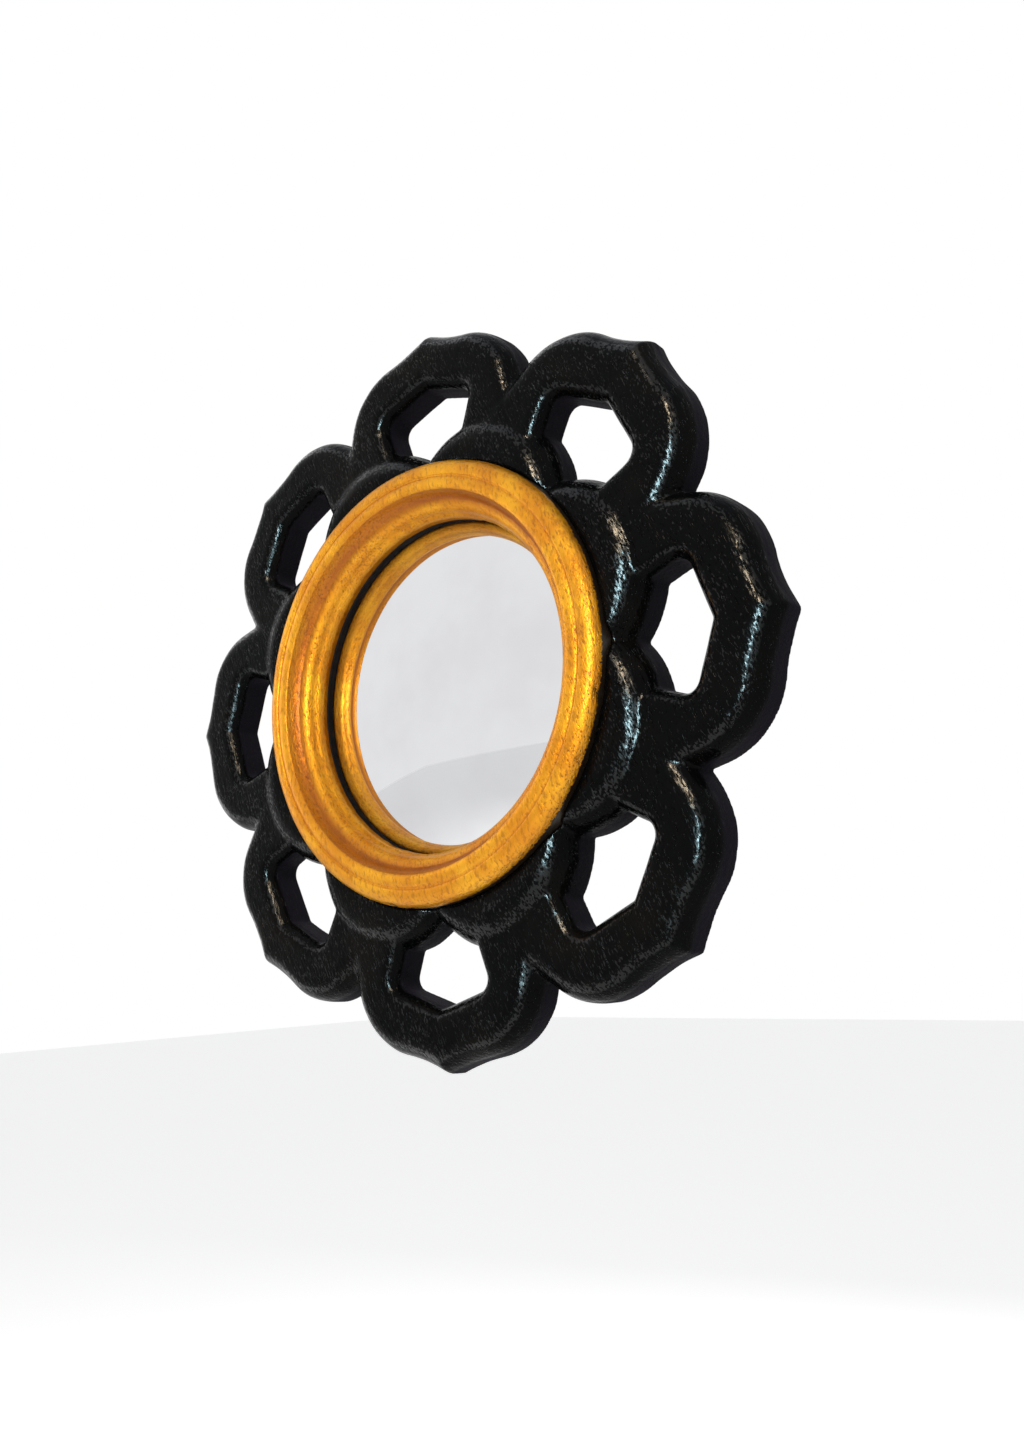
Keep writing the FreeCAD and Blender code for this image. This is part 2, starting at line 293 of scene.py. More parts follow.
def turned_piece(name: str, profile: Array, segments: int, closed: bool = True) -> Piece:
    """Turn a half section about the axis of the glass.

    Args:
        name: The piece's name.
        profile: Rows of radius and height, in metres.
        segments: How many steps make the whole turn.
        closed: Whether the half section's last point joins its first.

    Returns:
        The new object.
    """
    angles = np.arange(segments) * 2 * math.pi / segments
    radius, height = profile[:, 0], profile[:, 1]
    x = np.sin(angles)[:, None] * radius
    z = np.cos(angles)[:, None] * radius
    y = np.broadcast_to(-height, x.shape)
    points = np.stack([x, y, z], -1).reshape(-1, 3)
    rows = len(profile)
    steps = rows if closed else rows - 1
    turn, row = np.meshgrid(np.arange(segments), np.arange(steps), indexing="ij")
    after, beside = (turn + 1) % segments, (row + 1) % rows
    faces = np.stack([turn * rows + row, turn * rows + beside, after * rows + beside, after * rows + row], -1)
    faces = faces.reshape(-1, 4).tolist()
    if not closed:
        first = np.arange(segments) * rows
        faces += [first.tolist(), (first + rows - 1)[::-1].tolist()]
    return piece_from(name, points, faces)


def centre_of(first: Sequence[float], second: Sequence[float], third: Sequence[float]) -> complex:
    """Find the centre of the circle through three places.

    Args:
        first: The first place, as two numbers.
        second: The second place.
        third: The third place.

    Returns:
        The centre, as a complex number.
    """
    a, b, c = (complex(*place) for place in (first, second, third))
    ratio = (c - a) / (b - a)
    return (b - a) * (ratio - abs(ratio) ** 2) / (2j * ratio.imag) + a


def arc_points(start: Sequence[float], middle: Sequence[float], end: Sequence[float], steps: int) -> Array:
    """Points along the arc through three places, without its last point.

    Args:
        start: Where the arc starts.
        middle: A place that it goes through.
        end: Where it ends.
        steps: How many steps it takes.

    Returns:
        One row of two numbers for each point.
    """
    centre = centre_of(start, middle, end)
    a, b, c = (complex(*place) - centre for place in (start, middle, end))
    turn, through = cmath.phase(c / a), cmath.phase(b / a)
    if turn * through < 0:
        turn += math.copysign(2 * math.pi, through)
    angles = cmath.phase(a) + turn * np.arange(steps) / steps
    return np.stack([centre.real + abs(a) * np.cos(angles), centre.imag + abs(a) * np.sin(angles)], 1)


# Finishes


class Tree:
    """A node tree, with one short call for each node."""

    def __init__(self, tree: bpy.types.NodeTree) -> None:
        """Take up a node tree."""
        self.nodes = tree.nodes
        self.links = tree.links

    def node(self, kind: str, inputs: dict[str | int, object], **traits: str) -> bpy.types.Node:
        """Add a node.

        Args:
            kind: The node's kind, without the words that all kinds start with.
            inputs: A number, a colour or another node's socket for each input that needs one.
            **traits: The node's own settings.

        Returns:
            The new node.
        """
        node = self.nodes.new(f"ShaderNode{kind}")
        for name, value in traits.items():
            setattr(node, name, value)
        for name, value in inputs.items():
            if isinstance(value, Socket):
                self.links.new(value, node.inputs[name])
            else:
                node.inputs[name].default_value = value
        return node

    def seen_level(self, lit: float, seen: float) -> Socket:
        """A level that differs between where a thing is seen, straight or mirrored, and where it lights.

        Args:
            lit: The level where the thing lights.
            seen: The level where it is seen.

        Returns:
            The level's socket.
        """
        path = self.node("LightPath", {}).outputs
        value = path["Is Camera Ray"]
        for way in ("Is Glossy Ray", "Is Transmission Ray"):
            value = self.node("Math", {0: value, 1: path[way]}, operation="MAXIMUM").outputs[0]
        return self.node("MapRange", {"Value": value, "To Min": lit, "To Max": seen}).outputs[0]


class Sheet(Tree):
    """The node tree of one finish, with short calls for the few kinds of node that the finishes use."""

    def __init__(self, name: str) -> None:
        """Start a finish.

        Args:
            name: The material's name.
        """
        self.material = bpy.data.materials.new(name)
        self.material.use_nodes = True
        super().__init__(self.material.node_tree)
        self.shader = self.nodes["Principled BSDF"]
        self.place = self.node("TexCoord", {}).outputs["Object"]

    def set(self, **values: object) -> None:
        """Set the shader's own sockets by name, with underscores for spaces.

        Args:
            **values: The numbers and colours; a three-number colour gets full cover.
        """
        for name, value in values.items():
            if isinstance(value, tuple) and len(value) == 3:
                value = (*value, 1.0)
            self.shader.inputs[name.replace("_", " ")].default_value = value

    def join(self, source: Socket, name: str) -> None:
        """Lead a socket into one of the shader's own."""
        self.links.new(source, self.shader.inputs[name])

    def stretched(self, lean: float, scale: Sequence[float], shift: float = 0.0) -> Socket:
        """The places on the piece, leaned about the axis of the glass and stretched.

        Args:
            lean: How far the stretch leans from upright, in degrees.
            scale: How much each direction is scaled.
            shift: How far all the places are moved.

        Returns:
            The socket of the new places.
        """
        turned = {"Angle": math.radians(lean), "Vector": self.place}
        leaned = self.node("VectorRotate", turned, rotation_type="Y_AXIS")
        moved = {"Scale": scale, "Location": (shift, shift, shift), "Vector": leaned.outputs["Vector"]}
        return self.node("Mapping", moved).outputs["Vector"]

    def noise(self, scale: float, detail: float = 3.0, rough: float = 0.5, place: Socket | None = None) -> Socket:
        """A cloudy value over the piece.

        Args:
            scale: How fine it is, per metre.
            detail: How many finer layers it has.
            rough: How strong those layers are.
            place: The places to read it at, or the piece's own.

        Returns:
            The value's socket.
        """
        inputs = {"Scale": scale, "Detail": detail, "Roughness": rough, "Vector": place or self.place}
        return self.node("TexNoise", inputs).outputs["Fac"]

    def cells(self, scale: float, place: Socket | None = None) -> Socket:
        """The distance to the nearest of many scattered places, at so many per metre."""
        return self.node("TexVoronoi", {"Scale": scale, "Vector": place or self.place}).outputs["Distance"]

    def spread(self, value: Socket, low: float, high: float, to_low: float = 0.0, to_high: float = 1.0) -> Socket:
        """Spread the part of a value between two levels over a new range.

        Args:
            value: The value.
            low: The level that becomes to_low.
            high: The level that becomes to_high.
            to_low: The new low end.
            to_high: The new high end.

        Returns:
            The new value's socket.
        """
        inputs = {"Value": value, "From Min": low, "From Max": high, "To Min": to_low, "To Max": to_high}
        return self.node("MapRange", inputs, interpolation_type="SMOOTHSTEP").outputs["Result"]

    def sum(self, kind: str, first: Socket, second: Socket | float) -> Socket:
        """Work two values together by ADD, SUBTRACT, MULTIPLY or MAXIMUM."""
        return self.node("Math", {0: first, 1: second}, operation=kind).outputs[0]

    def part_of(self, vector: Socket, axis: str) -> Socket:
        """One of a vector's X, Y and Z."""
        return self.node("SeparateXYZ", {0: vector}).outputs[axis]

    def blend(self, share: Socket, first: Colour | Socket, second: Colour | Socket) -> Socket:
        """Blend two colours; the share says how much of the second shows."""
        ends = [(*colour, 1.0) if isinstance(colour, tuple) else colour for colour in (first, second)]
        return self.node("Mix", {0: share, 6: ends[0], 7: ends[1]}, data_type="RGBA").outputs[2]

    def bump(self, height: Socket, depth: float, strength: float = 1.0, under: Socket | None = None) -> Socket:
        """Raise the surface by a value.

        Args:
            height: The value.
            depth: How far a value of one stands out, in metres.
            strength: How strongly it shows.
            under: The bump that this one lies on.

        Returns:
            The socket of the new surface direction.
        """
        inputs = {"Distance": depth, "Strength": strength, "Height": height}
        if under:
            inputs["Normal"] = under
        return self.node("Bump", inputs).outputs["Normal"]

    def mark(self, name: str) -> Socket:
        """A value that the piece's own points carry."""
        return self.node("Attribute", {}, attribute_name=name).outputs["Fac"]

    def facing(self) -> Socket:
        """How far the surface faces the back, from minus one at the front to one."""
        return self.part_of(self.node("TexCoord", {}).outputs["Normal"], "Y")

    def open_pores(self, size: float = 1.0) -> Socket:
        """The short open pores of the board, one where a pore is and zero between them.

        Args:
            size: How large they are, as a share of the board's own.

        Returns:
            The socket of their value.
        """
        long_pores = self.cells(760 / size, self.stretched(GRAIN_LEAN, (1.0, 1.0, 0.16)))
        short_pores = self.cells(1150 / size, self.stretched(GRAIN_LEAN, (1.0, 1.0, 0.26), 0.3))
        crowd = self.noise(90, 2.0, 0.6, self.stretched(GRAIN_LEAN, (1.0, 1.0, 0.25)))
        pores = self.sum("MAXIMUM", self.spread(long_pores, 0.30, 0.12), self.spread(short_pores, 0.26, 0.14))
        return self.sum("MULTIPLY", pores, self.spread(crowd, 0.36, 0.58, 0.15, 1.0))


@dataclass(frozen=True)
class BlackPaint:
    """Glossy black paint over open-grained carved wood, which shows bare on the back."""

    black: Colour = (0.0018, 0.0020, 0.0021)
    brown_black: Colour = (0.0048, 0.0042, 0.0034)
    # A lighter violet-grey black for the side walls: painted sheen where they turn away from the front
    wall_sheen_black: Colour = (0.0105, 0.0088, 0.0130)
    bare_wood: Colour = (0.40, 0.245, 0.125)
    dark_wood: Colour = (0.235, 0.130, 0.062)
    pore_wood: Colour = (0.10, 0.052, 0.024)

    def material(self) -> bpy.types.Material:
        """Make the finish.

        Returns:
            The material.
        """
        sheet = Sheet("black_painted_wood")
        pores = sheet.open_pores()
        streaks = sheet.noise(420, 1.5, 0.45, sheet.stretched(GRAIN_LEAN, (1.0, 1.0, 0.07)))
        cloud = sheet.noise(32, 3.0, 0.6)
        facing = sheet.facing()
        dashes = sheet.noise(1250, 1.0, 0.5, sheet.stretched(GRAIN_LEAN, (1.0, 1.0, 0.40), 0.7))
        crowd = sheet.spread(sheet.noise(48, 3.0, 0.6), 0.35, 0.65, -0.06, 0.05)
        shoulder = sheet.spread(facing, -0.97, -0.89, -0.14, 0.045)
        glaze = sheet.spread(sheet.sum("ADD", sheet.sum("ADD", dashes, crowd), shoulder), 0.50, 0.56)
        back = sheet.spread(facing, 0.55, 0.8)
        ragged = sheet.sum("ADD", sheet.part_of(sheet.place, "Y"), sheet.spread(cloud, 0.3, 0.7, -0.0012, 0.0012))
        bare = sheet.sum("MULTIPLY", back, sheet.spread(ragged, -0.0075, -0.0068))
        paint = sheet.blend(sheet.spread(cloud, 0.45, 0.75), self.black, self.brown_black)
        # Painted sheen: the walls that turn from the front take the lighter violet-grey black
        paint = sheet.blend(sheet.spread(facing, -0.45, -0.15), paint, self.wall_sheen_black)
        wood = sheet.blend(sheet.spread(streaks, 0.32, 0.68), self.dark_wood, self.bare_wood)
        wood = sheet.blend(pores, wood, self.pore_wood)
        sheet.join(sheet.blend(bare, paint, wood), "Base Color")
        gloss = sheet.spread(sheet.noise(240, 4.0, 0.6), 0.3, 0.7, 0.12, 0.22)
        front = sheet.spread(facing, -0.74, -0.82)
        gloss = sheet.sum("MAXIMUM", gloss, sheet.spread(facing, -0.50, -0.10, 0.0, 0.74))
        sheet.join(sheet.sum("MAXIMUM", gloss, sheet.sum("MULTIPLY", bare, 0.72)), "Roughness")
        sheet.join(sheet.sum("MULTIPLY", glaze, front), "Coat Weight")
        ridges = sheet.bump(streaks, 0.00007, 0.8)
        wrinkles = sheet.noise(620, 1.5, 0.5, sheet.stretched(GRAIN_LEAN, (1.0, 1.0, 0.34)))
        wrinkled = sheet.bump(wrinkles, 0.00026, 1.0, ridges)
        sheet.join(sheet.bump(wrinkles, 0.00020), "Coat Normal")
        sheet.join(sheet.bump(sheet.sum("MULTIPLY", pores, -1.0), 0.00045, 1.0, wrinkled), "Normal")
        sheet.set(Specular_IOR_Level=0.04, Coat_Roughness=0.22, Coat_IOR=1.28)
        return sheet.material


@dataclass(frozen=True)
class GoldLeafPaint:
    """Brushed gold over the ring's wood, with painted shade in brown along the cove, and chipped to dark at its
    outer edge.
    """

    gold: Colour = (0.66, 0.245, 0.003)
    pale_gold: Colour = (0.82, 0.385, 0.011)
    # The brown of the painted shade in the cove and the quirk, which the open pores also take
    cove_shade_brown: Colour = (0.36, 0.095, 0.0022)
    grain_brown: Colour = (0.25, 0.068, 0.003)
    chip_dark: Colour = (0.018, 0.011, 0.008)
    grain_lean: float = 8.0

    def material(self) -> bpy.types.Material:
        """Make the finish.

        Returns:
            The material.
        """
        sheet = Sheet("brushed_gold_wood")
        pores = sheet.open_pores(0.9)
        cloud = sheet.noise(60, 4.0, 0.6)
        fine = sheet.noise(900, 3.0, 0.6)
        gold = sheet.blend(sheet.spread(cloud, 0.35, 0.7), self.gold, self.pale_gold)
        # Painted shade: the cove and the quirk turn brown along their grooves, a little unevenly
        shade = sheet.sum("MULTIPLY", sheet.mark("cove"), sheet.spread(cloud, 0.25, 0.6, 0.65, 1.0))
        gold = sheet.blend(shade, gold, self.cove_shade_brown)
        lines = sheet.noise(850, 2.0, 0.55, sheet.stretched(self.grain_lean, (1.0, 1.0, 0.34)))
        grain = sheet.spread(lines, 0.50, 0.32, 0.0, 0.42)
        gold = sheet.blend(grain, gold, self.grain_brown)
        # The open pores take the same brown as their own darker grain
        gold = sheet.blend(sheet.sum("MULTIPLY", pores, 0.55), gold, self.cove_shade_brown)
        edge = sheet.mark("edge")
        chip = sheet.spread(sheet.sum("ADD", edge, sheet.spread(fine, 0.2, 0.8, -0.35, 0.35)), 0.55, 0.65)
        spots = sheet.sum("MULTIPLY", sheet.spread(sheet.cells(120), 0.16, 0.10), edge)
        worn = sheet.sum("MAXIMUM", chip, spots)
        sheet.join(sheet.blend(worn, gold, self.chip_dark), "Base Color")
        metal = sheet.sum("SUBTRACT", sheet.spread(worn, 0.0, 1.0, 0.84, 0.0), sheet.sum("MULTIPLY", pores, 0.3))
        sheet.join(metal, "Metallic")
        sheet.join(sheet.spread(fine, 0.25, 0.75, 0.34, 0.50), "Roughness")
        soft = sheet.bump(lines, 0.00034, 1.0)
        sheet.join(sheet.bump(sheet.sum("MULTIPLY", pores, -1.0), 0.00022, 0.9, soft), "Normal")
        sheet.set(Specular_IOR_Level=0.2, Specular_Tint=(1.0, 0.76, 0.34), Coat_Weight=0.42, Coat_Roughness=0.30)
        return sheet.material


@dataclass(frozen=True)
class Silvering:
    """The silvered glass, with a breath of dust and a slight unevenness."""

    tone: Colour = (0.76, 0.765, 0.775)
    smear_tone: Colour = (0.71, 0.705, 0.73)

    def material(self) -> bpy.types.Material:
        """Make the finish.

        Returns:
            The material.
        """
        sheet = Sheet("silvered_glass")
        dust = sheet.noise(900, 5.0, 0.7)
        smear = sheet.noise(26, 3.0, 0.6)
        sheet.join(sheet.blend(sheet.spread(smear, 0.3, 0.8), self.tone, self.smear_tone), "Base Color")
        sheet.join(sheet.spread(sheet.sum("MULTIPLY", dust, smear), 0.22, 0.5, 0.012, 0.07), "Roughness")
        sheet.join(sheet.bump(sheet.noise(14, 1.0, 0.4), 0.00006, 0.6), "Normal")
        sheet.set(Metallic=1.0)
        return sheet.material


@dataclass(frozen=True)
class FeltWithGapShade:
    """The felt ring that beds the glass; its near-black also stands for painted shade in the gap under the lip.
    """

    dark: Colour = (0.006, 0.005, 0.005)
    light: Colour = (0.030, 0.026, 0.024)

    def material(self) -> bpy.types.Material:
        """Make the finish.

        Returns:
            The material.
        """
        sheet = Sheet("felt_with_gap_shade")
        fibre = sheet.noise(2600, 5.0, 0.75)
        # Near-black felt, which also paints the shade of the gap between the lip and the glass
        sheet.join(sheet.blend(fibre, self.dark, self.light), "Base Color")
        sheet.join(sheet.bump(fibre, 0.0003, 0.9), "Normal")
        sheet.set(Roughness=0.95, Sheen_Weight=0.25)
        return sheet.material


@dataclass(frozen=True)
class Hardboard:
    """Pressed brown board: smooth and mottled, with fine dark fibres."""

    light: Colour = (0.285, 0.165, 0.085)
    dark: Colour = (0.215, 0.120, 0.061)
    fibre: Colour = (0.07, 0.036, 0.018)

    def material(self) -> bpy.types.Material:
        """Make the finish.

        Returns:
            The material.
        """
        sheet = Sheet("pressed_board")
        mottle = sheet.noise(120, 6.0, 0.72)
        fibres = sheet.cells(1400, sheet.stretched(-35.0, (1.0, 1.0, 0.2)))
        fleck = sheet.cells(1700, sheet.stretched(50.0, (1.0, 1.0, 0.22), 0.4))
        dark = sheet.sum("MAXIMUM", sheet.spread(fibres, 0.22, 0.08), sheet.spread(fleck, 0.2, 0.08))
        board = sheet.blend(sheet.spread(mottle, 0.3, 0.7), self.dark, self.light)
        sheet.join(sheet.blend(sheet.sum("MULTIPLY", dark, 0.6), board, self.fibre), "Base Color")
        sheet.join(sheet.spread(mottle, 0.3, 0.7, 0.42, 0.62), "Roughness")
        sheet.join(sheet.bump(sheet.sum("SUBTRACT", mottle, dark), 0.00018, 0.8), "Normal")
        return sheet.material


@dataclass(frozen=True)
class FittingMetal:
    """The metal of a fitting: rolled, a little dulled, and brighter where it is rubbed."""

    metal: ShopMetal
    tarnish_share: float = 0.45

    def material(self) -> bpy.types.Material:
        """Make the finish.

        Returns:
            The material.
        """
        sheet = Sheet(f"rolled_{self.metal.name.lower()}")
        colour = self.metal.value
        tarnish = sheet.noise(420, 5.0, 0.65)
        rolled = sheet.noise(900, 3.0, 0.6, sheet.stretched(0.0, (0.12, 1.0, 1.0)))
        dull = tuple(self.tarnish_share * part for part in colour)
        sheet.join(sheet.blend(sheet.spread(tarnish, 0.46, 0.72), colour, dull), "Base Color")
        sheet.join(sheet.spread(sheet.sum("ADD", tarnish, rolled), 0.7, 1.3, 0.26, 0.50), "Roughness")
        sheet.join(sheet.bump(rolled, 0.00005, 0.8), "Normal")
        sheet.set(Metallic=1.0)
        return sheet.material


# The sub-assemblies


@dataclass
class CarvedFrame:
    """The carved board: eight looped petals and eight lobes in one, eased and wavered as a hand leaves them."""

    tip_radius: float = 0.165
    thickness: float = 0.018
    lobe_thickness: float = 0.0215
    ring_radius: float = 0.095
    lobe_width: float = 0.0235
    lobe_valley_width: float = 0.0068
    shoulder_radius: float = 0.012
    lobe_round: float = 0.016
    rim_radius: float = 0.008
    hole_round: float = 0.0055
    crease: float = 0.0011
    shoulder_shares: Pair = (0.835, 0.360)
    bulge_shares: Pair = (0.645, 0.665)
    side_shares: Pair = (0.270, 0.935)
    hole_point_shares: Pair = (0.385, 0.0)
    hole_corner_shares: Pair = (0.185, 0.495)
    hole_throat_shares: Pair = (-0.400, 0.410)
    reach_shares: tuple[float, ...] = (0.97, 1.0, 1.0, 1.0, 0.93, 0.955, 1.0, 1.0)
    # The unevenness of the carving: how long, how strong and which
    wavers: tuple[tuple[float, float, int], ...] = ((0.034, 0.00034, 3), (0.013, 0.00011, 8))
    opening_waver_share: float = 0.7
    inset: float = 0.00022
    seam_drop: float = 0.0014
    seam_slope: float = 0.2
    # The radius and depth of the recess for the buttons and of the rebate for the board
    back_steps: tuple[Pair, ...] = ((0.0985, 0.0023), (0.084, 0.0048))
    seat_height: float = 0.016
    seat_play: float = 0.0001
    bore_radius: float = 0.077
    pocket_place: float = 0.1473
    pocket_half_width: float = 0.0068
    pocket_half_length: float = 0.0109
    pocket_corner: float = 0.0025
    pocket_depth: float = 0.004
    step: float = 0.001
    quick_step_share: float = 1.5

    def __post_init__(self) -> None:
        """Work out the arcs and corners of the top petal and its opening."""
        self.half_sector = math.pi / len(self.reach_shares)
        self.lobe_reach = self.ring_radius + self.lobe_width
        valley = self.ring_radius + self.lobe_valley_width
        self.lobe_centre = (self.lobe_reach ** 2 - valley ** 2) / (
            2 * (self.lobe_reach - valley * math.cos(self.half_sector))
        )
        tip = np.array([0.0, self.tip_radius])
        shoulder, bulge, side = map(self.place, (self.shoulder_shares, self.bulge_shares, self.side_shares))
        centre = centre_of(shoulder, bulge, side)
        self.bulge_centre = np.array([centre.real, centre.imag])
        outward = (shoulder - self.bulge_centre) / np.linalg.norm(shoulder - self.bulge_centre)
        chord = tip - shoulder
        reach = chord @ chord / (2 * chord @ outward)
        self.ogee_centre = shoulder + outward * reach
        # The hollow of the ogee and the bulge below it: centre, ends, and which side of the arc is wood
        self.outline_arcs = ((self.ogee_centre, shoulder, tip, -1.0), (self.bulge_centre, shoulder, side, 1.0))
        spoke = (side - self.bulge_centre) / np.linalg.norm(side - self.bulge_centre)
        self.flank_start, self.flank_out = side, spoke
        along = np.array([-spoke[1], spoke[0]])
        self.flank_along = along if along[1] < 0 else -along
        corners = (self.hole_point_shares, self.hole_corner_shares, self.hole_throat_shares)
        self.hole = [self.place(shares) for shares in corners]

    def place(self, shares: Pair) -> Array:
        """A place on the top petal from its shares along and across, as across and along."""
        along = self.lobe_reach + shares[0] * (self.tip_radius - self.lobe_reach)
        return np.array([shares[1] * along * math.tan(self.half_sector), along])

    def outline(self, across: Array, along: Array) -> Array:
        """The distance to a petal's outline.

        Args:
            across: The places across the petal, all on its right half.
            along: The places along it, from the axis of the glass.

        Returns:
            The distance, below zero inside the petal.
        """
        best = np.full(across.shape, np.inf)
        signed = np.zeros(across.shape)
        for centre, start, end, sense in self.outline_arcs:
            radius = np.linalg.norm(start - centre)
            right, up = across - centre[0], along - centre[1]
            reach = np.hypot(right, up) + 1e-12
            middle = (start + end) / 2 - centre
            middle /= np.linalg.norm(middle)
            spread = ((start - centre) @ middle) / radius
            within = (right * middle[0] + up * middle[1]) / reach >= spread
            to_ends = np.minimum(
                np.hypot(across - start[0], along - start[1]), np.hypot(across - end[0], along - end[1])
            )
            size = np.where(within, np.abs(reach - radius), to_ends)
            value = np.sign(reach - radius) * sense * size
            nearer = size < best
            best = np.where(nearer, size, best)
            signed = np.where(nearer, value, signed)
        right, up = across - self.flank_start[0], along - self.flank_start[1]
        run = right * self.flank_along[0] + up * self.flank_along[1]
        off = right * self.flank_out[0] + up * self.flank_out[1]
        size = np.where(run >= 0, np.abs(off), np.hypot(right, up))
        nearer = size < best
        return np.where(nearer, np.sign(off) * size, signed)

    def opening(self, across: Array, along: Array) -> Array:
        """The distance to a petal's opening.

        Args:
            across: The places across the petal, all on its right half.
            along: The places along it.

        Returns:
            The distance, below zero inside the opening.
        """
        point, corner, throat = self.hole
        runs, sides = [], []
        for start, end in ((point, corner), (corner, throat)):
            run = (end - start) / np.linalg.norm(end - start)
            runs.append(run)
            sides.append((across - start[0]) * -run[1] + (along - start[1]) * run[0] + self.hole_round)
        first, second = sides
        lean = float(runs[0] @ runs[1])
        outside = (first > lean * second) & (second > lean * first)
        gap = np.maximum(first ** 2 + second ** 2 - 2 * lean * first * second, 0.0)
        corner_reach = np.sqrt(gap / (1 - lean ** 2))
        return np.where(outside, corner_reach, np.maximum(first, second)) - self.hole_round

    def distance(self, x: Array, y: Array, z: Array) -> Array:
        """The distance to the carved board.

        Args:
            x: The places across.
            y: The places in depth.
            z: The places up.

        Returns:
            The distance, below zero in the wood.
        """
        height = -y
        radius = np.hypot(x, z)
        waver = sum(hand_waver(x, y, z, length, seed) * size for length, size, seed in self.wavers)
        wood = np.full(np.shape(x), 1.0)
        top = self.thickness - self.inset
        for index, share in enumerate(self.reach_shares):
            angle = index * 2 * self.half_sector
            across = x * math.cos(angle) - z * math.sin(angle)
            along = x * math.sin(angle) + z * math.cos(angle)
            across = np.sqrt(across ** 2 + (0.5 * self.crease) ** 2)
            along = np.where(along > self.lobe_reach, self.lobe_reach + (along - self.lobe_reach) / share, along)
            outline = self.outline(across, along) + waver + self.inset
            opening = waver * self.opening_waver_share - self.opening(across, along)
            bar = eased_slab(outline, height, top, self.shoulder_radius)
            bar = smooth_cut(bar, -eased_slab(opening, height, top, self.rim_radius), self.crease)
            wood = smooth_union(wood, np.where(along > 0, bar, 1.0), self.crease)
        for index in range(len(self.reach_shares)):
            angle = (2 * index + 1) * self.half_sector
            off_x = x - self.lobe_centre * math.sin(angle)
            off_z = z - self.lobe_centre * math.cos(angle)
            reach = np.hypot(off_x, off_z) - (self.lobe_reach - self.lobe_centre)
            lobe = eased_slab(
                reach + waver + self.inset, height, self.lobe_thickness - self.inset, self.lobe_round
            )
            wood = smooth_union(wood, lobe, self.crease)
        seam = self.lobe_thickness - self.seam_drop
        slope = height - (seam + (radius - self.ring_radius) * self.seam_slope)
        wood = smooth_cut(wood, -slope, self.crease)
        wood = smooth_cut(wood, height, self.crease)
        for cut_radius, depth in self.back_steps:
            wood = smooth_cut(wood, np.maximum(radius - cut_radius, height - depth), self.crease / 2)
        seat = np.maximum(radius - self.ring_radius - self.seat_play, self.seat_height - height)
        wood = np.maximum(np.maximum(wood, -seat), self.bore_radius - radius)
        pocket = rounded_box(
            x, z - self.pocket_place, self.pocket_half_width, self.pocket_half_length, self.pocket_corner
        )
        return smooth_cut(wood, np.maximum(pocket, height - self.pocket_depth), self.crease / 2)

    def build(self) -> list[Piece]:
        """Make the board, dress it and set it in place of its solid.

        Returns:
            The board alone.
        """
        step = self.step * 1.0
        low = (-self.tip_radius, -self.lobe_thickness, -self.tip_radius)
        high = (self.tip_radius, 0.0, self.tip_radius)
        points, faces = skin(self.distance, low, high, step)
        piece = piece_from("carved_frame", np.clip(points, low, high), faces)
        piece.data.materials.append(BlackPaint().material())
        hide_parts("petal_frame")
        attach(piece, "frame")
        return [piece]


